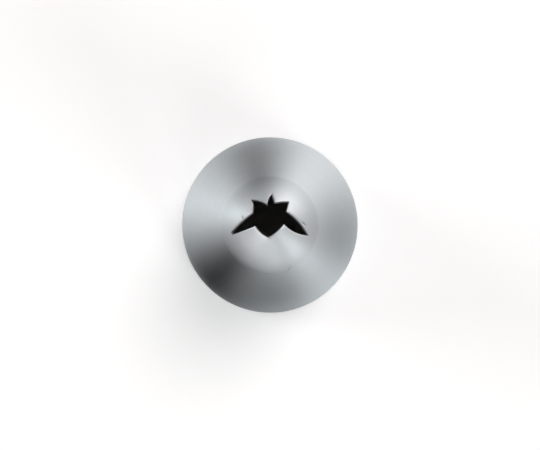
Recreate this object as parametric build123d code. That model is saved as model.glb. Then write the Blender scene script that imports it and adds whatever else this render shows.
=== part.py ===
from build123d import *
import os
from math import asin, atan2, cos, degrees, hypot, sin, sqrt

# Piping nozzle: one thin steel sheet rolled into a cone, butt-welded along its side and pressed
# closed over its nose, where a six-slot star mouth with two long wings lets the icing out.
# Sizes are in millimetres. The nozzle stands on its wide rim with its mouth up: +Z runs up its axis
# from the centre of the rim, +Y is the side of the mouth's narrow spike and +X its right wing.

# Cone and nose, outside sizes
base_outer_radius = 9.0
closed_height = 31.0  # to where the crown would close over the axis
crown_radius = 7.0
knuckle_radius = 3.0
knuckle_ring_radius = 1.6  # from the axis to the centre of the knuckle's arc
sheet_thickness = 0.4

# Mouth, seen along the axis
mouth_half_width = 3.57  # from the axis to the tip of the left wing
mouth_rise = 2.84  # from the axis up to the tip of the narrow spike

# Seam weld
seam_angle = 225.0  # degrees about the axis from +X, under the mouth's lower lip
seam_gap = 0.4  # between the two edges of the rolled sheet
root_bead_width = 1.1
root_bead_height = 0.22
root_bead_setback = 2.0  # from the rim, and from the knuckle, where the bead is ground away

# How far a cutting solid runs past what it cuts
overrun = 1.0

# The mouth's outline, anticlockwise from the spike's tip: across as a share of mouth_half_width, up as
# a share of mouth_rise, and the bulge of the edge to the next point as a share of that edge's length.
mouth_outline_shares = [
    (0.048, 1.000, 0.11),  # tip of the narrow spike
    (-0.071, 0.650, 0.09),  # tooth between the spike and the left corner
    (-0.484, 0.820, 0.00),  # left corner
    (-0.434, 0.690, 0.00),
    (-0.450, 0.393, 0.03),  # tooth above the left wing
    (-1.000, -0.243, 0.00),  # blunt tip of the left wing
    (-0.974, -0.315, 0.01),
    (-0.384, -0.030, 0.085),  # tooth below the left wing
    (-0.045, -0.405, 0.06),  # bottom of the lobe
    (0.360, 0.030, 0.100),  # tooth below the right wing
    (0.992, -0.340, 0.065),  # tip of the right wing
    (0.426, 0.437, 0.00),  # tooth above the right wing
    (0.488, 0.755, 0.03),  # right corner
    (0.119, 0.723, 0.00),  # tooth between the right corner and the spike
]

# Where the knuckle and the crown are centred, and how far the cone leans in
crown_centre_z = closed_height - crown_radius
knuckle_centre_z = crown_centre_z + sqrt((crown_radius - knuckle_radius) ** 2 - knuckle_ring_radius**2)
knuckle_to_crown = asin(knuckle_ring_radius / (crown_radius - knuckle_radius))
rim_to_knuckle = hypot(base_outer_radius - knuckle_ring_radius, knuckle_centre_z)
cone_lean = atan2(base_outer_radius - knuckle_ring_radius, knuckle_centre_z) - asin(
    knuckle_radius / rim_to_knuckle
)
cone_top_z = knuckle_centre_z + knuckle_radius * sin(cone_lean)


def on_knuckle(inset, angle):
    """A point of the knuckle, inset from the outside, at an angle above level in radians."""
    reach = knuckle_radius - inset
    return (knuckle_ring_radius + reach * cos(angle), 0, knuckle_centre_z + reach * sin(angle))


def on_crown(inset, angle):
    """A point of the crown, inset from the outside, at an angle from the axis in radians."""
    reach = crown_radius - inset
    return (reach * sin(angle), 0, crown_centre_z + reach * cos(angle))


def half_profile(inset):
    """The nozzle's line from the rim to the axis, inset from the outside: cone, knuckle, crown."""
    knuckle_top = atan2(1, 0) - knuckle_to_crown
    rim = (base_outer_radius - inset / cos(cone_lean), 0, 0)
    cone = Line(rim, on_knuckle(inset, cone_lean))
    knuckle = ThreePointArc(
        cone @ 1, on_knuckle(inset, (cone_lean + knuckle_top) / 2), on_crown(inset, knuckle_to_crown)
    )
    crown = ThreePointArc(knuckle @ 1, on_crown(inset, knuckle_to_crown / 2), on_crown(inset, 0))
    return [cone, knuckle, crown]


def revolved_layer(outer_inset, inner_inset):
    """The layer between two insets, turned right round the axis."""
    outer, inner = half_profile(outer_inset), half_profile(inner_inset)
    across_axis = Line(outer[-1] @ 1, inner[-1] @ 1)
    across_rim = Line(inner[0] @ 0, outer[0] @ 0)
    section = make_face([*outer, across_axis, *inner, across_rim])
    return revolve(section, axis=Axis.Z)


def mouth_section(height):
    """The mouth's outline, spread along rays from the crown's centre to a height above that centre."""
    corners = []
    for across_share, up_share, _ in mouth_outline_shares:
        across = across_share * mouth_half_width
        up = up_share * mouth_rise
        spread = height / sqrt(crown_radius**2 - across**2 - up**2)
        corners.append(Vector(across * spread, up * spread))
    edges = []
    for start, end, (_, _, bulge_share) in zip(corners, corners[1:] + corners[:1], mouth_outline_shares):
        bulge = bulge_share * (end - start).length
        edges.append(SagittaArc(start, end, -bulge) if bulge else Line(start, end))
    return Pos(0, 0, crown_centre_z + height) * make_face(edges)


def mouth_cutter():
    """The mouth as it was slit through the sheet: its walls stand square to the crown."""
    below_sheet = mouth_section(knuckle_centre_z - crown_centre_z)
    above_sheet = mouth_section(crown_radius + overrun)
    return loft([below_sheet, above_sheet], ruled=True)


def seam_slab(width, low_z, high_z):
    """A slab out from the axis along the seam, between two heights."""
    reach = base_outer_radius + overrun
    slab = Box(reach, width, high_z - low_z, align=(Align.MIN, Align.CENTER, Align.MIN))
    return Rot(0, 0, seam_angle) * Pos(0, 0, low_z) * slab


def nozzle_shell():
    """The rolled sheet: its two long edges stand seam_gap apart, and the star mouth is cut in its nose."""
    wall = revolved_layer(0, sheet_thickness)
    joint = seam_slab(seam_gap, -overrun, closed_height + overrun)
    return wall - mouth_cutter() - joint


def seam_weld():
    """The weld: flush outside, it fills the joint and stands as a low root bead on the inside."""
    wall = revolved_layer(0, sheet_thickness)
    joint = seam_slab(seam_gap, -overrun, closed_height + overrun)
    bead_layer = revolved_layer(sheet_thickness, sheet_thickness + root_bead_height)
    root = seam_slab(root_bead_width, root_bead_setback, cone_top_z - root_bead_setback)
    return (wall & joint) - mouth_cutter() + (bead_layer & root)


os.makedirs("parts", exist_ok=True)
pieces = {"nozzle_shell": nozzle_shell(), "seam_weld": seam_weld()}
for name, piece in pieces.items():
    export_step(piece, f"parts/{name}.step")
    print(name, "volume", round(piece.volume, 2), "size", piece.bounding_box().size)
print("cone leans in by", round(degrees(cone_lean), 2), "degrees")
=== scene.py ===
"""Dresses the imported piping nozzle: a rolled sheet of satin steel, its welded seam, a floor and soft light.

All lengths are in metres. The frame's origin is the centre of the rim that the nozzle stands on, +Z runs up
its axis to the mouth, and +Y points at the mouth's narrow spike.
"""

import logging
from dataclasses import dataclass
from enum import Enum
from math import asin, atan2, ceil, cos, hypot, pi, radians, sin, sqrt
from typing import Any

import bpy
import numpy as np
from bpy.types import ID, Material, Mesh, NodeSocket, NodeTree, Object, World
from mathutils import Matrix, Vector


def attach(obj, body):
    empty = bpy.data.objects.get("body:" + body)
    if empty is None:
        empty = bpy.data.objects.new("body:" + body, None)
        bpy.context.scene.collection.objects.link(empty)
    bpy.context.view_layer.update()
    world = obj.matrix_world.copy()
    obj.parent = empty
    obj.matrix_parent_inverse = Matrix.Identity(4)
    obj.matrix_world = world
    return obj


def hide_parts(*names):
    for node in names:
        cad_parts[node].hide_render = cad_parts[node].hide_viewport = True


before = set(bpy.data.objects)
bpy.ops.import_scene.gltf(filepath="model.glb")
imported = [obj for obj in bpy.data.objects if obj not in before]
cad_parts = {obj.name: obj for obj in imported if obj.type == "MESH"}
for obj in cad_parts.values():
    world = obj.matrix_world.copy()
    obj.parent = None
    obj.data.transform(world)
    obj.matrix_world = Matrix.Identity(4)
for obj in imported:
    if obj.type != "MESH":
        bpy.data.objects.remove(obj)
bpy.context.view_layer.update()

MM = 0.001
LOG = logging.getLogger("piping_nozzle")
MERGE_DISTANCE = 0.0005 * MM
FULL_TURN = 360  # degrees
WRAP_MAP = "wrap"
TURN = "turn"
AWAY = "away"
COVER = "cover"
WHITE = "#FFFFFF"


def hex_colour(code: str) -> tuple[float, float, float, float]:
    """Turns an sRGB hex colour to linear light.

    Args:
        code: The colour as #RRGGBB.

    Returns:
        Linear red, green, blue and an alpha of 1.
    """
    shares = [int(code[place : place + 2], 16) / 255 for place in (1, 3, 5)]
    linear = [s / 12.92 if s <= 0.04045 else ((s + 0.055) / 1.055) ** 2.4 for s in shares]
    return (*linear, 1.0)


def add_node(tree: NodeTree, kind: str, inputs: dict | None = None, **settings: Any) -> Any:
    """Adds one node to a tree, with its settings, its input values and its links.

    Args:
        tree: The shader or geometry tree.
        kind: The node's Blender type.
        inputs: Input name or number to a value, or to the output socket that feeds it.
        settings: The node's own properties.

    Returns:
        The new node.
    """
    node = tree.nodes.new(kind)
    for name, value in settings.items():
        setattr(node, name, value)
    for key, value in (inputs or {}).items():
        if isinstance(value, NodeSocket):
            tree.links.new(value, node.inputs[key])
        else:
            node.inputs[key].default_value = value
    return node


def wire(tree: NodeTree, kind: str, inputs: dict | None = None, **settings: Any) -> NodeSocket:
    """Adds one node, as add_node does, and returns its first output."""
    return add_node(tree, kind, inputs, **settings).outputs[0]


def maths(tree: NodeTree, operation: str, *values: Any, clamp: bool = False) -> NodeSocket:
    """Adds one Math node over up to three values or sockets, with its result kept from 0 to 1 on demand."""
    return wire(tree, "ShaderNodeMath", dict(enumerate(values)), operation=operation, use_clamp=clamp)


def length_of(tree: NodeTree, vector: NodeSocket) -> NodeSocket:
    """Adds the length of a vector."""
    return add_node(tree, "ShaderNodeVectorMath", {0: vector}, operation="LENGTH").outputs["Value"]


def scaled(tree: NodeTree, vector: Any, scale: Any) -> NodeSocket:
    """Adds a vector times a scale."""
    return wire(tree, "ShaderNodeVectorMath", {0: vector, "Scale": scale}, operation="SCALE")


def vector_of(tree: NodeTree, *parts: Any) -> NodeSocket:
    """Adds a vector made of its X, Y and Z parts."""
    return wire(tree, "ShaderNodeCombineXYZ", dict(enumerate(parts)))


def parts_of(tree: NodeTree, vector: NodeSocket) -> Any:
    """Adds a vector's X, Y and Z parts."""
    return add_node(tree, "ShaderNodeSeparateXYZ", {0: vector}).outputs


def direction_at(tree: NodeTree, angle: NodeSocket) -> NodeSocket:
    """Adds the level direction at an angle about the axis, in radians."""
    return vector_of(tree, maths(tree, "COSINE", angle), maths(tree, "SINE", angle))


def noise(
    tree: NodeTree, place: NodeSocket, scale: float, detail: float, fineness: float = 0.5
) -> NodeSocket:
    """Adds noise from 0 to 1, with its details in octaves."""
    inputs = {"Vector": place, "Scale": scale, "Detail": detail, "Roughness": fineness}
    return wire(tree, "ShaderNodeTexNoise", inputs)


def ranged(
    tree: NodeTree,
    value: NodeSocket,
    low: float,
    high: float,
    start: float = 0.0,
    end: float = 1.0,
    kind: str = "LINEAR",
) -> NodeSocket:
    """Adds a value that goes from low to high while the given one goes from start to end."""
    inputs = {"Value": value, "From Min": start, "From Max": end, "To Min": low, "To Max": high}
    return wire(tree, "ShaderNodeMapRange", inputs, interpolation_type=kind)


def stored(tree: NodeTree, name: str, kind: str = "FLOAT") -> NodeSocket:
    """Adds the value of a stored attribute, in a geometry tree."""
    attribute = add_node(tree, "GeometryNodeInputNamedAttribute", {"Name": name}, data_type=kind)
    return attribute.outputs["Attribute"]


def marked(
    tree: NodeTree, geometry: NodeSocket, name: str, value: Any, kind: str = "FLOAT", domain: str = "POINT"
) -> NodeSocket:
    """Adds a geometry with a value stored on it as an attribute."""
    inputs = {"Geometry": geometry, "Name": name, "Value": value}
    return wire(tree, "GeometryNodeStoreNamedAttribute", inputs, data_type=kind, domain=domain)


def dressed(tree: NodeTree, geometry: NodeSocket, chosen: Any, material: NodeSocket) -> NodeSocket:
    """Adds a geometry with a material on its chosen faces."""
    inputs = {"Geometry": geometry, "Selection": chosen, "Material": material}
    return wire(tree, "GeometryNodeSetMaterial", inputs)


def merged(tree: NodeTree, geometry: NodeSocket) -> NodeSocket:
    """Adds a geometry with the points that meet merged."""
    inputs = {"Geometry": geometry, "Distance": MERGE_DISTANCE}
    return wire(tree, "GeometryNodeMergeByDistance", inputs)


def joined(tree: NodeTree, *pieces: NodeSocket) -> NodeSocket:
    """Adds the geometry that several pieces make together.

    Args:
        tree: The tree to add to.
        *pieces: The pieces, in order.

    Returns:
        The joined geometry.
    """
    join = add_node(tree, "GeometryNodeJoinGeometry")
    for piece in pieces:
        tree.links.new(piece, join.inputs[0])
    return join.outputs[0]


def blend(tree: NodeTree, share: Any, low: Any, high: Any) -> NodeSocket:
    """Adds the value that lies the given share of the way from one value to another."""
    return wire(tree, "ShaderNodeMix", {0: share, 2: low, 3: high})


def blend_colours(tree: NodeTree, share: Any, low: Any, high: Any) -> NodeSocket:
    """Adds the colour that lies the given share of the way from one linear colour to another."""
    return add_node(tree, "ShaderNodeMix", {0: share, 6: low, 7: high}, data_type="RGBA").outputs[2]


def new_material(name: str) -> tuple[Material, NodeTree]:
    """Makes a material and empties its tree.

    Args:
        name: The material's name.

    Returns:
        The material and its tree.
    """
    material = bpy.data.materials.new(name)
    material.use_nodes = True
    material.node_tree.nodes.clear()
    return material, material.node_tree


def new_geometry_tree(
    name: str, floats: tuple[str, ...], integers: tuple[str, ...], finishes: tuple[str, ...]
) -> tuple[NodeTree, Any]:
    """Makes a geometry tree with named inputs.

    Args:
        name: The tree's name.
        floats: The names of its sizes.
        integers: The names of its counts.
        finishes: The names of its materials.

    Returns:
        The tree and its group input's sockets.
    """
    tree = bpy.data.node_groups.new(name, "GeometryNodeTree")
    for direction in ("INPUT", "OUTPUT"):
        tree.interface.new_socket("Geometry", in_out=direction, socket_type="NodeSocketGeometry")
    for kind, names in (("Float", floats), ("Int", integers), ("Material", finishes)):
        for socket_name in names:
            tree.interface.new_socket(socket_name, in_out="INPUT", socket_type=f"NodeSocket{kind}")
    return tree, add_node(tree, "NodeGroupInput").outputs


def in_scene(name: str, data: ID) -> Object:
    """Makes an object and links it to the scene.

    Args:
        name: The object's name.
        data: Its mesh, light or camera.

    Returns:
        The object.
    """
    made = bpy.data.objects.new(name, data)
    bpy.context.scene.collection.objects.link(made)
    return made


@dataclass(frozen=True)
class SheetSizes:
    """The rolled sheet's driving sizes, the same as its solids'."""

    rim_radius: float = 9.0 * MM
    closed_height: float = 31.0 * MM
    crown_radius: float = 7.0 * MM
    knuckle_radius: float = 3.0 * MM
    ring_radius: float = 1.6 * MM
    thickness: float = 0.4 * MM
    seam_angle: float = radians(225)
    seam_gap: float = 0.4 * MM

    @property
    def crown_centre_z(self) -> float:
        """Height of the crown's centre."""
        return self.closed_height - self.crown_radius

    @property
    def knuckle_to_crown(self) -> float:
        """Angle from the axis at which the knuckle meets the crown."""
        return asin(self.ring_radius / (self.crown_radius - self.knuckle_radius))

    @property
    def knuckle_centre_z(self) -> float:
        """Height of the knuckle's centre."""
        reach = self.crown_radius - self.knuckle_radius
        return self.crown_centre_z + sqrt(reach**2 - self.ring_radius**2)

    @property
    def lean(self) -> float:
        """How far the cone leans in from upright.

        Returns:
            The angle, in radians.
        """
        across = self.rim_radius - self.ring_radius
        slant = hypot(across, self.knuckle_centre_z)
        return atan2(across, self.knuckle_centre_z) - asin(self.knuckle_radius / slant)


@dataclass(frozen=True)
class MouthOutline:
    """The star mouth's outline, seen along the axis, anticlockwise from the spike's tip.

    Each corner is its place across and up, as shares of the two sizes, the bulge of the edge that follows
    it, as a share of that edge's length, and the direction from the axis, in degrees, in which the sheet
    runs from that corner to the cone.
    """

    half_width: float = 3.57 * MM
    rise: float = 2.84 * MM
    step: float = 0.078 * MM
    turn_step: float = 2.5  # degrees
    mitre_limit: float = 0.6  # least spread of a mitre, so that a sharp tooth's isn't too long
    corner_shares: tuple[tuple[float, float, float, float], ...] = (
        (0.048, 1.000, 0.11, 88),
        (-0.071, 0.650, 0.09, 100),
        (-0.484, 0.820, 0.00, 118),
        (-0.434, 0.690, 0.00, 130),
        (-0.450, 0.393, 0.03, 142),
        (-1.000, -0.243, 0.00, 192.5),
        (-0.974, -0.315, 0.01, 195.5),
        (-0.384, -0.030, 0.0466, 215),
        (-0.2191, -0.2758, 0.0361, 225),
        (-0.045, -0.405, 0.06, 268),
        (0.360, 0.030, 0.100, 325),
        (0.992, -0.340, 0.065, 345.5),
        (0.426, 0.437, 0.00, 396),
        (0.488, 0.755, 0.03, 414),
        (0.119, 0.723, 0.00, 436),
    )

    def closed_points(self) -> np.ndarray:
        """Lays points close together along the outline.

        Returns:
            One row for each point: its place across and up, its direction in degrees, and the way from it
            into the metal, across and up, as long as it takes to move both edges there by one.
        """
        starts = np.array([(c[0] * self.half_width, c[1] * self.rise, c[3]) for c in self.corner_shares])
        ends = np.roll(starts, -1, axis=0)
        ends[-1, 2] += FULL_TURN
        stretches = []
        for start, chord, corner in zip(starts, ends - starts, self.corner_shares):
            bulge = np.array((chord[1], -chord[0], 0)) * corner[2]
            count = ceil(max(hypot(chord[0], chord[1]) / self.step, chord[2] / self.turn_step))
            shares = np.linspace(0, 1, count, endpoint=False)[:, None]
            stretches.append(start + chord * shares + bulge * 4 * shares * (1 - shares))
        points = np.concatenate(stretches)
        edges = np.roll(points, -1, axis=0)[:, :2] - points[:, :2]
        after = np.column_stack((edges[:, 1], -edges[:, 0])) / np.hypot(edges[:, 0], edges[:, 1])[:, None]
        before = np.roll(after, 1, axis=0)
        spread = 1 + (before * after).sum(axis=1, keepdims=True)
        return np.column_stack((points, (before + after) / np.maximum(spread, self.mitre_limit)))

    def split_at_seam(self, sizes: SheetSizes) -> tuple[np.ndarray, np.ndarray]:
        """Cuts the outline where the seam's two edges meet it.

        Args:
            sizes: The sheet's sizes, which place the seam.

        Returns:
            The points round the sheet, from seam to seam, and the few points across the seam, as
            closed_points has them, but with how far round each lies, from 0 to 1, for its direction.
        """
        across, up = cos(sizes.seam_angle), sin(sizes.seam_angle)
        points = self.closed_points()
        sides = across * points[:, 1] - up * points[:, 0]
        near = across * points[:, 0] + up * points[:, 1] > 0
        cuts = []
        for edge in (-sizes.seam_gap / 2, sizes.seam_gap / 2):
            number = int(np.argmax(near & (sides < edge) & (np.roll(sides, -1) >= edge)))
            share = (edge - sides[number]) / (sides[number + 1] - sides[number])
            cuts.append((number + 1, points[number] + share * (points[number + 1] - points[number])))
        (low, low_point), (high, high_point) = cuts
        beyond = np.vstack((points[:low], low_point))
        beyond[:, 2] += FULL_TURN
        stretches = []
        for stretch in (
            np.vstack((high_point, points[high:], beyond)),
            np.vstack((low_point, points[low:high], high_point)),
        ):
            stretch[:, 2] = (stretch[:, 2] - stretch[0, 2]) / (stretch[-1, 2] - stretch[0, 2])
            stretches.append(stretch)
        return stretches[0], stretches[1]


class Side(Enum):
    """Which stretch of the ring a rolled sheet fills: all but the seam's gap, or the gap alone."""

    AROUND = 1
    ACROSS = -1


@dataclass(frozen=True)
class PressMark:
    """A faint oval dent that the press tool left in the nose, as seen along the axis, darkened with painted
    shade.
    """

    across: float
    up: float
    length: float
    width: float
    turn: float  # degrees, from across
    strength: float = 1.0

    def shares(self, tree: NodeTree, place: NodeSocket) -> NodeSocket:
        """Adds how far into the dent a place lies.

        Args:
            tree: The tree to add to.
            place: The place, in Object coordinates.

        Returns:
            A share from 0 at the dent's edge and outside it to the dent's strength in its middle.
        """
        centred = wire(
            tree,
            "ShaderNodeMapping",
            {
                "Vector": place,
                "Location": (self.across, self.up, 0.0),
                "Rotation": (0.0, 0.0, radians(self.turn)),
                "Scale": (self.length / 2, self.width / 2, 1.0),
            },
            vector_type="TEXTURE",
        )
        return ranged(tree, length_of(tree, centred), self.strength, 0.0, kind="SMOOTHSTEP")


@dataclass(frozen=True)
class SpunSatinSteel:
    """Stainless steel sheet, spun on a mandrel and polished round the axis with a fine abrasive.

    To the eye it is a soft, slightly cool grey metal whose gloss spreads into broad sectors, because the
    marks run round the axis. The real marks are about 0.02 mm apart and too fine to show, so they are drawn
    0.12 mm apart and faint.
    """

    name: str = "spun_satin_stainless_steel"
    colour: str = "#B0BABE"
    worn_colour: str = "#AAB4B8"
    roughness: float = 0.514
    roughness_swing: float = 0.03
    anisotropy: float = 0.915
    gloss_turn: float = 0.25  # a quarter turn, since the gloss spreads across the marks
    mark_spacing: float = 0.12 * MM
    mark_depth: float = 0.0004 * MM
    mark_detail: float = 3.0  # octaves of noise
    mark_fineness: float = 0.6
    cloud_size: float = 2.5 * MM
    cloud_detail: float = 2.0
    # painted shade: the steel inside the dents is darkened to this colour, for the shade in their hollows
    dent_colour: str = "#7F8587"
    dent_depth: float = 0.02 * MM
    press_marks: tuple[PressMark, ...] = (
        PressMark(across=-2.53 * MM, up=0.68 * MM, length=0.60 * MM, width=0.30 * MM, turn=95),
        PressMark(across=3.12 * MM, up=0.10 * MM, length=0.85 * MM, width=0.28 * MM, turn=-45),
        PressMark(
            across=1.75 * MM, up=-4.10 * MM, length=1.20 * MM, width=0.30 * MM, turn=65, strength=0.4
        ),
    )

    def build(self) -> Material:
        """Builds the material.

        Returns:
            The finished material, which reads Object coordinates and the piece's wrap map.
        """
        material, tree = new_material(self.name)
        place = add_node(tree, "ShaderNodeTexCoord").outputs["Object"]
        parts = parts_of(tree, place)
        flat = vector_of(tree, parts["X"], parts["Y"])
        down = maths(tree, "SUBTRACT", parts["Z"], length_of(tree, flat))
        row = maths(tree, "MULTIPLY", down, 1 / self.mark_spacing)
        round_axis = wire(tree, "ShaderNodeVectorMath", {0: flat}, operation="NORMALIZE")
        round_parts = parts_of(tree, round_axis)
        mark_place = vector_of(tree, round_parts["X"], round_parts["Y"], row)
        marks = noise(tree, mark_place, 1.0, self.mark_detail, self.mark_fineness)
        clouds = noise(tree, place, 1 / self.cloud_size, self.cloud_detail)
        colour = blend_colours(tree, clouds, hex_colour(self.colour), hex_colour(self.worn_colour))
        dent = 0.0
        for mark in self.press_marks:
            dent = maths(tree, "MAXIMUM", mark.shares(tree, place), dent)
        # Painted shade: the steel is darkened inside each press dent; the dent's relief below is real.
        colour = blend_colours(tree, dent, colour, hex_colour(self.dent_colour))
        smoothest, roughest = self.roughness - self.roughness_swing, self.roughness + self.roughness_swing
        roughness = ranged(tree, marks, smoothest, roughest)
        bump = wire(tree, "ShaderNodeBump", {"Strength": 1.0, "Distance": self.mark_depth, "Height": marks})
        bump = wire(
            tree,
            "ShaderNodeBump",
            {"Strength": 1.0, "Distance": self.dent_depth, "Height": dent, "Normal": bump},
            invert=True,
        )
        tangent = wire(tree, "ShaderNodeTangent", direction_type="UV_MAP", uv_map=WRAP_MAP)
        steel = wire(
            tree,
            "ShaderNodeBsdfPrincipled",
            {
                "Base Color": colour,
                "Metallic": 1.0,
                "Roughness": roughness,
                "Anisotropic": self.anisotropy,
                "Anisotropic Rotation": self.gloss_turn,
                "Normal": bump,
                "Tangent": tangent,
            },
        )
        add_node(tree, "ShaderNodeOutputMaterial", {"Surface": steel})
        return material


@dataclass(frozen=True)
class RawSteel:
    """Stainless steel as it left the press or the torch, with no polish: a dull, even, darker grey metal.

    The grain is the crystal frost of pickled sheet, about 0.05 mm across, drawn 0.2 mm across so it shows.
    """

    name: str
    colour: str
    dark_colour: str
    roughness: float
    grain: float = 0.2 * MM
    grain_depth: float = 0.004 * MM
    grain_detail: float = 4.0  # octaves of noise

    def build(self) -> Material:
        """Builds the material.

        Returns:
            The finished material, which reads Object coordinates.
        """
        material, tree = new_material(self.name)
        place = add_node(tree, "ShaderNodeTexCoord").outputs["Object"]
        grain = noise(tree, place, 1 / self.grain, self.grain_detail)
        colour = blend_colours(tree, grain, hex_colour(self.colour), hex_colour(self.dark_colour))
        relief = {"Strength": 1.0, "Distance": self.grain_depth, "Height": grain}
        bump = wire(tree, "ShaderNodeBump", relief)
        steel = wire(
            tree,
            "ShaderNodeBsdfPrincipled",
            {"Base Color": colour, "Metallic": 1.0, "Roughness": self.roughness, "Normal": bump},
        )
        add_node(tree, "ShaderNodeOutputMaterial", {"Surface": steel})
        return material


class RolledSheetTree:
    """The geometry tree that forms a stretch of the rolled sheet.

    The mesh it is given holds one point for each column of the sheet, on the mouth's outline, with how far
    round the column lies in the attribute TURN and the way into the metal in AWAY. After the columns it
    holds one point for each row, which runs the whole way round the sheet's section: its ring, counted from
    the mouth to the rim, its depth below the outside, and its distance from the cut edge.
    """

    SIZES = (
        "Rim Radius", "Crown Radius", "Crown Centre Z", "Knuckle Radius", "Ring Radius", "Knuckle Centre Z",
        "Knuckle To Crown", "Lean", "Thickness", "Seam Angle",
    )
    FLOATS = (*SIZES, "Half Gap", "Gap Side", "Full Turn")
    INTEGERS = ("Columns", "Nose Rings", "Cone Rings")
    FINISHES = ("Outside", "Inside", "Cut Edge")
    PLACE = "place_on_sheet"
    DEPTH = "depth_share"
    SHARP_ANGLE = radians(50)
    EDGE_DEPTH_SHARE = 0.01  # the share of the thickness past which a face is part of a cut edge

    def build(self) -> NodeTree:
        """Builds the tree.

        Returns:
            The geometry tree, with every size as a named input.
        """
        tree, given = new_geometry_tree("rolled_sheet", self.FLOATS, self.INTEGERS, self.FINISHES)
        sheet = self.laid_out(tree, given)
        place, depth = self.formed_place(tree, given)
        deep = marked(tree, sheet, self.DEPTH, depth)
        shaped = wire(tree, "GeometryNodeSetPosition", {"Geometry": deep, "Position": place})
        closed = merged(tree, shaped)
        add_node(tree, "NodeGroupOutput", {"Geometry": self.finished(tree, given, closed)})
        return tree

    def laid_out(self, tree: NodeTree, given: Any) -> NodeSocket:
        """Lays the sheet out flat, with each vertex at its column and its row.

        Args:
            tree: The tree to add to.
            given: The group input's sockets.

        Returns:
            The sheet, wrapped round its section, and its two end walls, with each vertex's place stored.
        """
        index = wire(tree, "GeometryNodeInputIndex")
        points = wire(tree, "GeometryNodeAttributeDomainSize", {"Geometry": given["Geometry"]})
        rows = maths(tree, "SUBTRACT", points, given["Columns"])
        loop = maths(tree, "ADD", rows, 1.0)
        wrap = wire(tree, "GeometryNodeMeshGrid", {"Vertices X": given["Columns"], "Vertices Y": loop})
        column = maths(tree, "FLOOR", maths(tree, "DIVIDE", index, loop))
        row = maths(tree, "MODULO", maths(tree, "MODULO", index, loop), rows)
        wrap_place = vector_of(tree, column, row)
        last_column = maths(tree, "SUBTRACT", given["Columns"], 1.0)
        wall = wire(tree, "GeometryNodeMeshCircle", {"Vertices": rows}, fill_type="NGON")
        first_place = vector_of(tree, 0.0, index)
        last_place = vector_of(tree, last_column, index)
        turned_wrap = wire(tree, "GeometryNodeFlipFaces", {"Mesh": wrap})
        turned_wall = wire(tree, "GeometryNodeFlipFaces", {"Mesh": wall})
        return joined(
            tree,
            marked(tree, turned_wrap, self.PLACE, wrap_place, "FLOAT_VECTOR"),
            marked(tree, turned_wall, self.PLACE, first_place, "FLOAT_VECTOR"),
            marked(tree, wall, self.PLACE, last_place, "FLOAT_VECTOR"),
        )

    def formed_place(self, tree: NodeTree, given: Any) -> tuple[NodeSocket, NodeSocket]:
        """Works out where each vertex of the laid-out sheet lies on the nozzle.

        Args:
            tree: The tree to add to.
            given: The group input's sockets.

        Returns:
            The vertex's place, and its depth below the outside as a share of the thickness.
        """
        column, row, _ = parts_of(tree, stored(tree, self.PLACE, "FLOAT_VECTOR"))
        row_index = maths(tree, "ADD", row, given["Columns"])
        own_place = wire(tree, "GeometryNodeInputPosition")
        mouth_point, into_metal, row_data, turn = (
            wire(
                tree,
                "GeometryNodeSampleIndex",
                {"Geometry": given["Geometry"], "Value": value, "Index": number},
                data_type=kind,
            )
            for value, number, kind in (
                (own_place, column, "FLOAT_VECTOR"),
                (stored(tree, AWAY, "FLOAT_VECTOR"), column, "FLOAT_VECTOR"),
                (own_place, row_index, "FLOAT_VECTOR"),
                (stored(tree, TURN), column, "FLOAT"),
            )
        )
        ring, inset, edge = parts_of(tree, row_data)

        nose_share = maths(tree, "DIVIDE", ring, given["Nose Rings"], clamp=True)
        slowed = maths(tree, "SUBTRACT", 2.0, nose_share)
        spread = maths(tree, "MULTIPLY", nose_share, slowed)
        past_nose = maths(tree, "SUBTRACT", ring, given["Nose Rings"])
        down = maths(tree, "DIVIDE", past_nose, given["Cone Rings"], clamp=True)

        knuckle_reach = maths(tree, "SUBTRACT", given["Knuckle Radius"], inset)
        crown_reach = maths(tree, "SUBTRACT", given["Crown Radius"], inset)
        lean_cos = maths(tree, "COSINE", given["Lean"])
        lean_sin = maths(tree, "SINE", given["Lean"])
        top_radius = maths(tree, "MULTIPLY_ADD", knuckle_reach, lean_cos, given["Ring Radius"])
        top_z = maths(tree, "MULTIPLY_ADD", knuckle_reach, lean_sin, given["Knuckle Centre Z"])
        rim_inset = maths(tree, "DIVIDE", inset, lean_cos)
        rim_radius = maths(tree, "SUBTRACT", given["Rim Radius"], rim_inset)
        slope = maths(tree, "TANGENT", given["Lean"])
        edge_lean = maths(tree, "MULTIPLY", edge, slope)
        low_radius = maths(tree, "SUBTRACT", rim_radius, edge_lean)
        cone_radius = blend(tree, down, top_radius, low_radius)
        cone_z = blend(tree, down, top_z, edge)

        gap_share = maths(tree, "DIVIDE", given["Half Gap"], cone_radius)
        gap_angle = maths(tree, "ARCSINE", gap_share)
        start_angle = maths(tree, "MULTIPLY", gap_angle, given["Gap Side"])
        sweep = maths(tree, "MULTIPLY_ADD", start_angle, -2.0, given["Full Turn"])
        first_angle = maths(tree, "ADD", given["Seam Angle"], start_angle)
        angle = maths(tree, "MULTIPLY_ADD", turn, sweep, first_angle)
        on_cone = scaled(tree, direction_at(tree, angle), cone_radius)
        mouth_share = maths(tree, "DIVIDE", crown_reach, given["Crown Radius"])
        on_wall = scaled(tree, mouth_point, mouth_share)
        off_wall = scaled(tree, into_metal, edge)
        at_mouth = wire(tree, "ShaderNodeVectorMath", {0: on_wall, 1: off_wall}, operation="ADD")
        plan = add_node(
            tree, "ShaderNodeMix", {0: spread, 4: at_mouth, 5: on_cone}, data_type="VECTOR"
        ).outputs[1]
        plan_parts = parts_of(tree, plan)
        plan_radius = length_of(tree, plan)

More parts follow.
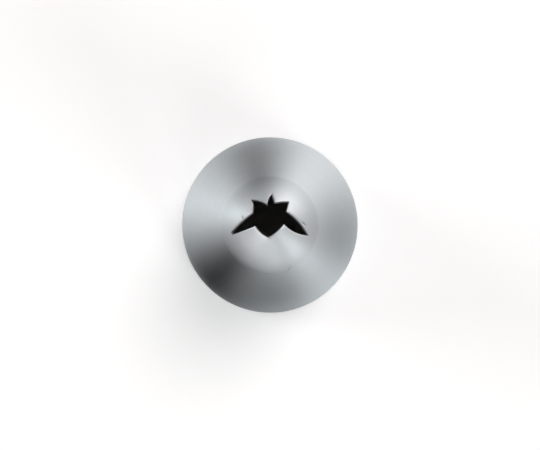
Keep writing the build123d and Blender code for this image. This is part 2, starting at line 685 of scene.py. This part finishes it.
        heights = []
        for reach, off_axis, centre_z in (
            (crown_reach, 0.0, given["Crown Centre Z"]),
            (knuckle_reach, given["Ring Radius"], given["Knuckle Centre Z"]),
        ):
            across = maths(tree, "SUBTRACT", plan_radius, off_axis)
            across_square = maths(tree, "MULTIPLY", across, across)
            reach_square = maths(tree, "MULTIPLY", reach, reach)
            rise_square = maths(tree, "SUBTRACT", reach_square, across_square)
            rise = maths(tree, "SQRT", maths(tree, "MAXIMUM", rise_square, 0.0))
            heights.append(maths(tree, "ADD", rise, centre_z))
        crown_share = maths(tree, "SINE", given["Knuckle To Crown"])
        crown_edge = maths(tree, "MULTIPLY", crown_reach, crown_share)
        on_knuckle = maths(tree, "GREATER_THAN", plan_radius, crown_edge)
        nose_z = blend(tree, on_knuckle, heights[0], heights[1])
        below_nose = maths(tree, "GREATER_THAN", past_nose, 0.0)
        height = blend(tree, below_nose, nose_z, cone_z)
        formed_place = vector_of(tree, plan_parts["X"], plan_parts["Y"], height)
        depth = maths(tree, "DIVIDE", inset, given["Thickness"])
        return formed_place, depth

    def finished(self, tree: NodeTree, given: Any, sheet: NodeSocket) -> NodeSocket:
        """Shades the sheet smooth, keeps its sharp edges and gives each side its finish.

        Args:
            tree: The tree to add to.
            given: The group input's sockets.
            sheet: The formed sheet.

        Returns:
            The finished sheet.
        """
        depth = stored(tree, self.DEPTH)
        unsigned_angle = wire(tree, "GeometryNodeInputMeshEdgeAngle")
        sharp = maths(tree, "GREATER_THAN", unsigned_angle, self.SHARP_ANGLE)
        smooth = wire(tree, "GeometryNodeSetShadeSmooth", {"Geometry": sheet})
        creased = wire(
            tree,
            "GeometryNodeSetShadeSmooth",
            {"Geometry": smooth, "Selection": sharp, "Shade Smooth": False},
            domain="EDGE",
        )
        outer = maths(tree, "LESS_THAN", depth, self.EDGE_DEPTH_SHARE)
        inner = maths(tree, "GREATER_THAN", depth, 1 - self.EDGE_DEPTH_SHARE)
        done = wire(tree, "GeometryNodeRealizeInstances", {"Geometry": creased})
        for name, chosen in (("Cut Edge", True), ("Outside", outer), ("Inside", inner)):
            done = dressed(tree, done, chosen, given[name])
        return done


class RootBeadTree:
    """The geometry tree that lays the weld's root bead along the inside of the cone, over a given mesh.

    The bead is low and rounded across the seam, and it froze in ripples, one for each dip of the wire.
    """

    FLOATS = (
        "Inner Rim Radius", "Lean", "Seam Angle", "Width", "Height",
        "Ripple Pitch", "Ripple Share", "Low Z", "High Z", "Taper",
    )
    INTEGERS = ("Rows Across", "Rows Along")
    FINISHES = ("Bead",)
    MARK = "is_bead"
    END_POWER = 0.5  # so that the bead's ends are round

    def build(self) -> NodeTree:
        """Builds the tree.

        Returns:
            The geometry tree, with every size as a named input.
        """
        tree, given = new_geometry_tree("root_bead", self.FLOATS, self.INTEGERS, self.FINISHES)
        top = self.skin(tree, given, 1.0)
        underside = wire(tree, "GeometryNodeFlipFaces", {"Mesh": self.skin(tree, given, 0.0)})
        closed = merged(tree, joined(tree, top, underside))
        bead = marked(tree, closed, self.MARK, True, "BOOLEAN", "FACE")
        smooth = wire(tree, "GeometryNodeSetShadeSmooth", {"Geometry": bead})
        both = joined(tree, smooth, given["Geometry"])
        real = wire(tree, "GeometryNodeRealizeInstances", {"Geometry": both})
        done = dressed(tree, real, stored(tree, self.MARK, "BOOLEAN"), given["Bead"])
        add_node(tree, "NodeGroupOutput", {"Geometry": done})
        return tree

    def skin(self, tree: NodeTree, given: Any, raised: float) -> NodeSocket:
        """Forms one skin of the bead.

        Args:
            tree: The tree to add to.
            given: The group input's sockets.
            raised: 1 for the rippled top, 0 for the underside against the sheet.

        Returns:
            The skin, a grid with its columns across the seam and its rows along it.
        """
        counts = {"Vertices X": given["Rows Across"], "Vertices Y": given["Rows Along"]}
        sides = {"Size X": 2.0, "Size Y": 1.0}
        grid = wire(tree, "GeometryNodeMeshGrid", {**sides, **counts})
        parts = parts_of(tree, wire(tree, "GeometryNodeInputPosition"))
        side_square = maths(tree, "MULTIPLY", parts["X"], parts["X"])
        along = maths(tree, "ADD", parts["Y"], 0.5)
        z = blend(tree, along, given["Low Z"], given["High Z"])
        curl = maths(tree, "MULTIPLY_ADD", side_square, given["Ripple Pitch"], z)
        ripple = maths(tree, "DIVIDE", curl, given["Ripple Pitch"])
        saw = maths(tree, "PINGPONG", ripple, 0.5)
        dip = maths(tree, "MULTIPLY", saw, given["Ripple Share"])
        crest = maths(tree, "SUBTRACT", 1.0, dip)
        dome = maths(tree, "SUBTRACT", 1.0, side_square)
        from_low = maths(tree, "SUBTRACT", z, given["Low Z"])
        from_high = maths(tree, "SUBTRACT", given["High Z"], z)
        nearest = maths(tree, "MINIMUM", from_low, from_high)
        end_share = maths(tree, "DIVIDE", nearest, given["Taper"], clamp=True)
        end_fade = maths(tree, "POWER", end_share, self.END_POWER)
        height = given["Height"]
        for share in (crest, dome, end_fade, raised):
            height = maths(tree, "MULTIPLY", height, share)
        slope = maths(tree, "TANGENT", given["Lean"])
        drawn_in = maths(tree, "MULTIPLY", z, slope)
        wall = maths(tree, "SUBTRACT", given["Inner Rim Radius"], drawn_in)
        half_width = maths(tree, "MULTIPLY", given["Width"], 0.5)
        across = maths(tree, "MULTIPLY", parts["X"], half_width)
        lean_over = maths(tree, "DIVIDE", across, wall)
        angle = maths(tree, "ADD", given["Seam Angle"], lean_over)
        reach = maths(tree, "SUBTRACT", wall, height)
        level = scaled(tree, direction_at(tree, angle), reach)
        level_parts = parts_of(tree, level)
        laid = vector_of(tree, level_parts["X"], level_parts["Y"], z)
        turned = wire(tree, "GeometryNodeFlipFaces", {"Mesh": grid})
        return wire(tree, "GeometryNodeSetPosition", {"Geometry": turned, "Position": laid})


def sheet_source(name: str, columns: np.ndarray, rows: list[tuple[float, float, float]]) -> Mesh:
    """Lays down the bare points that the rolled sheet's tree reads.

    Args:
        name: The mesh's name.
        columns: The outline's points, as split_at_seam has them.
        rows: Each row's ring, depth below the outside and distance from the cut edge.

    Returns:
        The mesh.
    """
    mesh = bpy.data.meshes.new(name)
    places = [(across, up, 0.0) for across, up in columns[:, :2]]
    mesh.from_pydata([*places, *rows], [], [])
    turns = np.concatenate((columns[:, 2], np.zeros(len(rows))))
    mesh.attributes.new(TURN, "FLOAT", "POINT").data.foreach_set("value", turns)
    ways = np.zeros((len(turns), 3))
    ways[: len(columns), :2] = columns[:, 3:]
    mesh.attributes.new(AWAY, "FLOAT_VECTOR", "POINT").data.foreach_set("vector", ways.ravel())
    return mesh


def formed(name: str, mesh: Mesh, steps: list[tuple[NodeTree, dict]]) -> Object:
    """Runs geometry trees over a mesh and keeps the plain mesh that comes out.

    Args:
        name: The name of the piece.
        mesh: What the first tree is given.
        steps: Each tree, with its input values by name.

    Returns:
        The piece, in the scene, with no modifier left on it.
    """
    source = in_scene(f"{name}_source", mesh)
    for tree, values in steps:
        modifier = source.modifiers.new(tree.name, "NODES")
        modifier.node_group = tree
        for item in tree.interface.items_tree:
            if item.in_out == "INPUT" and item.name in values:
                modifier[item.identifier] = values[item.name]
    bpy.context.view_layer.update()
    graph = bpy.context.evaluated_depsgraph_get()
    plain = bpy.data.meshes.new_from_object(source.evaluated_get(graph))
    bpy.data.objects.remove(source)
    bpy.data.meshes.remove(mesh)
    plain.name = name
    if plain.materials[0] is None:
        plain.materials.pop(index=0)
    write_wrap_map(plain)
    return in_scene(name, plain)


def write_wrap_map(mesh: Mesh) -> None:
    """Writes the wrap map: across it by the turn about the axis, up it by the height less the reach.

    Args:
        mesh: The mesh to map.
    """
    points = np.array([vertex.co for vertex in mesh.vertices])
    corners = np.array([loop.vertex_index for loop in mesh.loops])
    counts = np.array([face.loop_total for face in mesh.polygons])
    starts = np.array([face.loop_start for face in mesh.polygons])
    turns = np.arctan2(points[:, 1], points[:, 0])[corners] / (2 * pi)
    first_turns = np.repeat(turns[starts], counts)
    turns -= np.round(turns - first_turns)
    climbs = (points[:, 2] - np.hypot(points[:, 0], points[:, 1]))[corners] / SheetSizes.closed_height
    layer = mesh.uv_layers.new(name=WRAP_MAP)
    layer.data.foreach_set("uv", np.column_stack((turns, climbs)).ravel())


@dataclass(frozen=True)
class NozzleShell:
    """The rolled sheet, open along its seam, with the star mouth cut in its nose."""

    sizes: SheetSizes = SheetSizes()
    outline: MouthOutline = MouthOutline()
    nose_rings: int = 22
    cone_rings: int = 30
    edge_rounding: float = 0.04 * MM

    def section_rows(self) -> list[tuple[float, float, float]]:
        """Walks once round the sheet's section, down the outside, over the rim, up the inside and back.

        Returns:
            Each row's ring, its depth below the outside and its distance from the cut edge.
        """
        last = self.nose_rings + self.cone_rings
        rounding, thickness = self.edge_rounding, self.sizes.thickness
        eased = rounding * (1 - sqrt(0.5))
        outer_edge = [(eased, eased), (rounding, 0.0)]
        across_edge = [*outer_edge, *((thickness - depth, edge) for depth, edge in reversed(outer_edge))]
        down_outside = [(float(ring), 0.0, rounding) for ring in range(last + 1)]
        up_inside = [(float(ring), thickness, rounding) for ring in range(last, -1, -1)]
        over_rim = [(float(last), depth, edge) for depth, edge in across_edge]
        over_mouth = [(0.0, depth, edge) for depth, edge in reversed(across_edge)]
        return [*down_outside, *over_rim, *up_inside, *over_mouth]

    def stretch(
        self, tree: NodeTree, side: Side, finishes: dict[str, Material]
    ) -> tuple[Mesh, tuple[NodeTree, dict]]:
        """Sets out one stretch of the sheet.

        Args:
            tree: The rolled sheet's tree.
            side: Whether the stretch goes round, or fills the seam's gap.
            finishes: The materials, by the tree's input names.

        Returns:
            The points that the tree reads, and the tree with each input's value by its name.
        """
        sizes = self.sizes
        around, across = self.outline.split_at_seam(sizes)
        columns = around if side is Side.AROUND else across
        values = {name: getattr(sizes, name.lower().replace(" ", "_")) for name in RolledSheetTree.SIZES}
        values |= {
            "Half Gap": sizes.seam_gap / 2,
            "Gap Side": float(side.value),
            "Full Turn": 2 * pi if side is Side.AROUND else 0.0,
            "Columns": len(columns),
            "Nose Rings": self.nose_rings,
            "Cone Rings": self.cone_rings,
            **finishes,
        }
        return sheet_source("sheet_points", columns, self.section_rows()), (tree, values)

    def build(self, tree: NodeTree, finishes: dict[str, Material]) -> Object:
        """Builds the shell.

        Args:
            tree: The rolled sheet's tree.
            finishes: The materials, by the tree's input names.

        Returns:
            The finished piece.
        """
        points, step = self.stretch(tree, Side.AROUND, finishes)
        return formed("visual_nozzle_shell", points, [step])


@dataclass(frozen=True)
class SeamWeld:
    """The butt weld: ground flush outside and left as a low rippled root bead inside."""

    shell: NozzleShell = NozzleShell()
    root_width: float = 1.1 * MM
    root_height: float = 0.22 * MM
    root_setback: float = 2.0 * MM
    ripple_pitch: float = 0.35 * MM
    ripple_share: float = 0.6
    rows_across: int = 13
    rows_along: int = 420

    def build(
        self,
        sheet_tree: NodeTree,
        bead_tree: NodeTree,
        finishes: dict[str, Material],
        bead_finish: Material,
    ) -> Object:
        """Builds the weld.

        Args:
            sheet_tree: The rolled sheet's tree, which fills the seam's gap.
            bead_tree: The root bead's tree.
            finishes: The sheet's materials, by the tree's input names.
            bead_finish: The bead's material.

        Returns:
            The finished piece.
        """
        sizes = self.shell.sizes
        top_z = sizes.knuckle_centre_z + sizes.knuckle_radius * sin(sizes.lean)
        bead = {
            "Inner Rim Radius": sizes.rim_radius - sizes.thickness / cos(sizes.lean),
            "Lean": sizes.lean,
            "Seam Angle": sizes.seam_angle,
            "Width": self.root_width,
            "Height": self.root_height,
            "Ripple Pitch": self.ripple_pitch,
            "Ripple Share": self.ripple_share,
            "Low Z": self.root_setback,
            "High Z": top_z - self.root_setback,
            "Taper": self.root_width,
            "Rows Across": self.rows_across,
            "Rows Along": self.rows_along,
            "Bead": bead_finish,
        }
        points, fill = self.shell.stretch(sheet_tree, Side.ACROSS, finishes)
        return formed("visual_seam_weld", points, [fill, (bead_tree, bead)])


def seen_shares(tree: NodeTree) -> NodeSocket:
    """Adds a share that is 1 where the camera, a gloss or a clear part looks, and 0 where light is cast.

    Args:
        tree: The floor's or the world's tree.

    Returns:
        The share.
    """
    rays = add_node(tree, "ShaderNodeLightPath").outputs
    either = maths(tree, "MAXIMUM", rays["Is Camera Ray"], rays["Is Glossy Ray"])
    return maths(tree, "MAXIMUM", either, rays["Is Transmission Ray"])


@dataclass(frozen=True)
class Studio:
    """A white sweep under and round the nozzle, in a plain pale room."""

    floor_half_width: float = 0.6
    floor_colour: str = "#EEF2F3"
    floor_glow: float = 0.28
    camera_glow: float = 0.05  # more, for the camera alone
    lit_radius: float = 0.1  # past which the lamps' light falls off, and the floor's own glow takes over
    covered_radius: float = 8.8 * MM  # under the nozzle, where only what comes through the mouth falls
    room_level: float = 0.06
    seen_level: float = 1.0
    seen_tint: str = "#FFF3F0"  # in a gloss; the camera sees white

    def seen_colour(self, tree: NodeTree) -> NodeSocket:
        """Adds the colour of the background: white for the camera and a little warm in a gloss."""
        to_camera = add_node(tree, "ShaderNodeLightPath").outputs["Is Camera Ray"]
        return blend_colours(tree, to_camera, hex_colour(self.seen_tint), hex_colour(WHITE))

    def build_floor(self) -> Object:
        """Builds the floor that the nozzle stands on.

        Returns:
            The floor, in the scene.
        """
        half = self.floor_half_width
        mesh = bpy.data.meshes.new("studio_floor")
        corners = [(-half, -half, 0), (half, -half, 0), (half, half, 0), (-half, half, 0)]
        mesh.from_pydata(corners, [], [(0, 1, 2, 3)])
        material, tree = new_material("matt_white_studio_paper")
        reach = length_of(tree, add_node(tree, "ShaderNodeTexCoord").outputs["Object"])
        in_open = maths(tree, "GREATER_THAN", reach, self.covered_radius)
        glow_there = ranged(
            tree, reach, self.floor_glow, self.seen_level, self.lit_radius, half, kind="SMOOTHSTEP"
        )
        seen = maths(tree, "MULTIPLY", seen_shares(tree), glow_there)
        to_camera = add_node(tree, "ShaderNodeLightPath").outputs["Is Camera Ray"]
        brighter = maths(tree, "MULTIPLY_ADD", to_camera, self.camera_glow, seen)
        glow = maths(tree, "MULTIPLY", brighter, in_open)
        paper = wire(
            tree,
            "ShaderNodeBsdfPrincipled",
            {
                "Base Color": hex_colour(self.floor_colour),
                "Roughness": 1.0,
                "Specular IOR Level": 0.0,
                "Emission Color": self.seen_colour(tree),
                "Emission Strength": glow,
            },
        )
        add_node(tree, "ShaderNodeOutputMaterial", {"Surface": paper})
        mesh.materials.append(material)
        floor = in_scene("studio_floor", mesh)
        return floor

    def build_room(self) -> World:
        """Builds the pale room: a plain low level that lights, and white where it is seen.

        Returns:
            The world, set as the scene's.
        """
        world = bpy.data.worlds.new("pale_room")
        world.use_nodes = True
        tree = world.node_tree
        tree.nodes.clear()
        level = blend(tree, seen_shares(tree), self.room_level, self.seen_level)
        light = wire(tree, "ShaderNodeBackground", {"Color": self.seen_colour(tree), "Strength": level})
        add_node(tree, "ShaderNodeOutputWorld", {"Surface": light})
        bpy.context.scene.world = world
        return world


@dataclass(frozen=True)
class SoftLamp:
    """A round soft box that hangs at an azimuth and an elevation, in degrees, and faces the nozzle."""

    name: str
    azimuth: float
    elevation: float
    width: float
    radiance: float
    tint: str = "#FFFDFC"
    distance: float = 0.45

    def build(self, target: Vector) -> Object:
        """Builds the lamp.

        Args:
            target: The point that the lamp faces.

        Returns:
            The lamp, in the scene.
        """
        light = bpy.data.lights.new(self.name, "AREA")
        light.shape = "DISK"
        light.size = self.width
        light.energy = self.radiance * pi * pi * (self.width / 2) ** 2  # so its face has this radiance
        light.color = hex_colour(self.tint)[:3]
        lamp = in_scene(self.name, light)
        azimuth, elevation = radians(self.azimuth), radians(self.elevation)
        away = Vector((cos(azimuth) * cos(elevation), sin(azimuth) * cos(elevation), sin(elevation)))
        lamp.location = target + away * self.distance
        lamp.rotation_euler = away.to_track_quat("Z", "Y").to_euler()
        return lamp


@dataclass(frozen=True)
class GlossFlag:
    """A curved card that stands beside the nozzle and shows only in its gloss, as painted reflection shade.

    It gives the bright metal its dark sectors, and it thins out towards its two upright edges. It casts no
    shadow and no camera sees it. Its azimuth and the half of its turn about the axis are in degrees.
    """

    name: str
    azimuth: float
    half_turn: float
    distance: float
    height: float
    tone: str = "#000000"
    edge_softness: float = 1.74
    strips: int = 24

    def build(self) -> Object:
        """Builds the card.

        Returns:
            The card, in the scene.
        """
        corners, covers = [], []
        for share in (number / self.strips for number in range(self.strips + 1)):
            turn = radians(self.azimuth + self.half_turn * (2 * share - 1))
            across, up = self.distance * cos(turn), self.distance * sin(turn)
            corners += [(across, up, 0.0), (across, up, self.height)]
            covers += [max(0.0, sin(pi * share)) ** self.edge_softness] * 2
        faces = [(n, n + 2, n + 3, n + 1) for n in range(0, 2 * self.strips, 2)]
        mesh = bpy.data.meshes.new(self.name)
        mesh.from_pydata(corners, [], faces)
        mesh.attributes.new(COVER, "FLOAT", "POINT").data.foreach_set("value", covers)
        material, tree = new_material(f"{self.name}_gauze")
        # Painted reflection shade: an even black or grey glow that only the steel's gloss sees.
        gauze = wire(tree, "ShaderNodeEmission", {"Color": hex_colour(self.tone), "Strength": 1.0})
        clear = wire(tree, "ShaderNodeBsdfTransparent")
        cover = add_node(tree, "ShaderNodeAttribute", attribute_name=COVER).outputs["Fac"]
        thinned = wire(tree, "ShaderNodeMixShader", {0: cover, 1: clear, 2: gauze})
        add_node(tree, "ShaderNodeOutputMaterial", {"Surface": thinned})
        mesh.materials.append(material)
        card = in_scene(self.name, mesh)
        for ray in ("camera", "diffuse", "transmission", "volume_scatter", "shadow"):
            setattr(card, f"visible_{ray}", False)
        return card


@dataclass(frozen=True)
class AxisCamera:
    """The photograph's camera: right over the nozzle, looking straight down its axis."""

    height: float = 0.300
    frame_width: float = 55.36 * MM  # across the picture, at the floor
    sensor_width: float = 36.0  # millimetres
    near_limit: float = 10 * MM

    def build(self) -> Object:
        """Builds the camera and makes it the scene's.

        Returns:
            The camera.
        """
        data = bpy.data.cameras.new("axis_camera")
        data.sensor_width = self.sensor_width
        data.lens = self.sensor_width * self.height / self.frame_width
        data.clip_start = self.near_limit
        camera = in_scene("axis_camera", data)
        camera.location = (0, 0, self.height)
        bpy.context.scene.camera = camera
        return camera


def main() -> None:
    """Builds the nozzle's pieces, gives them to the frame and sets up the studio."""
    logging.basicConfig(level=logging.INFO)
    satin = SpunSatinSteel().build()
    inside = RawSteel("dull_mandrel_side_steel", "#7E7E7C", dark_colour="#6E6D6B", roughness=0.55).build()
    cut = RawSteel("sheared_steel_edge", "#989B9C", dark_colour="#7F8284", roughness=0.75).build()
    bead_finish = RawSteel(
        "straw_tinted_root_bead", "#A39478", dark_colour="#8B7B63", roughness=0.35
    ).build()
    finishes = {"Outside": satin, "Inside": inside, "Cut Edge": cut}
    sheet_tree = RolledSheetTree().build()
    shell = NozzleShell()
    shell_piece = shell.build(sheet_tree, finishes)
    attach(shell_piece, "root")
    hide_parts("nozzle_shell")
    LOG.info("%s: %d faces", shell_piece.name, len(shell_piece.data.polygons))
    ground = SpunSatinSteel(
        "flush_ground_weld_steel", "#AEB8BC", worn_colour="#A8B2B6", press_marks=()
    ).build()
    weld_finishes = {**finishes, "Outside": ground}
    weld_piece = SeamWeld(shell).build(sheet_tree, RootBeadTree().build(), weld_finishes, bead_finish)
    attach(weld_piece, "root")
    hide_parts("seam_weld")
    LOG.info("%s: %d faces", weld_piece.name, len(weld_piece.data.polygons))

    studio = Studio()
    studio.build_floor()
    studio.build_room()
    middle = Vector((0, 0, shell.sizes.closed_height / 2))
    for lamp in (
        SoftLamp("key_soft_box", azimuth=55.1, elevation=68.6, width=0.19, radiance=11.25, tint="#FFF5F3"),
        SoftLamp("left_soft_box", azimuth=161.5, elevation=36.0, width=0.20, radiance=4.95),
        SoftLamp("fill_soft_box", azimuth=-44.5, elevation=38.9, width=0.19, radiance=4.95),
        SoftLamp("nose_soft_box", azimuth=-78.7, elevation=53.2, width=0.15, radiance=3.45),
    ):
        lamp.build(middle)
    # Painted reflection shade: cards seen only in the steel's gloss give it dark sectors; the right one glows
    # mid grey.
    for flag in (
        GlossFlag("near_flag", azimuth=224, half_turn=53, distance=10.5 * MM, height=38 * MM),
        GlossFlag("far_flag", azimuth=99, half_turn=43, distance=15.7 * MM, height=80 * MM),
        GlossFlag(
            "right_flag", azimuth=352, half_turn=59, distance=18 * MM, height=27 * MM, tone="#868686"
        ),
        GlossFlag("low_flag", azimuth=275, half_turn=57, distance=18 * MM, height=31 * MM),
    ):
        flag.build()
    AxisCamera().build()
    bpy.context.scene.view_settings.view_transform = "Standard"


if __name__ == "__main__":
    main()
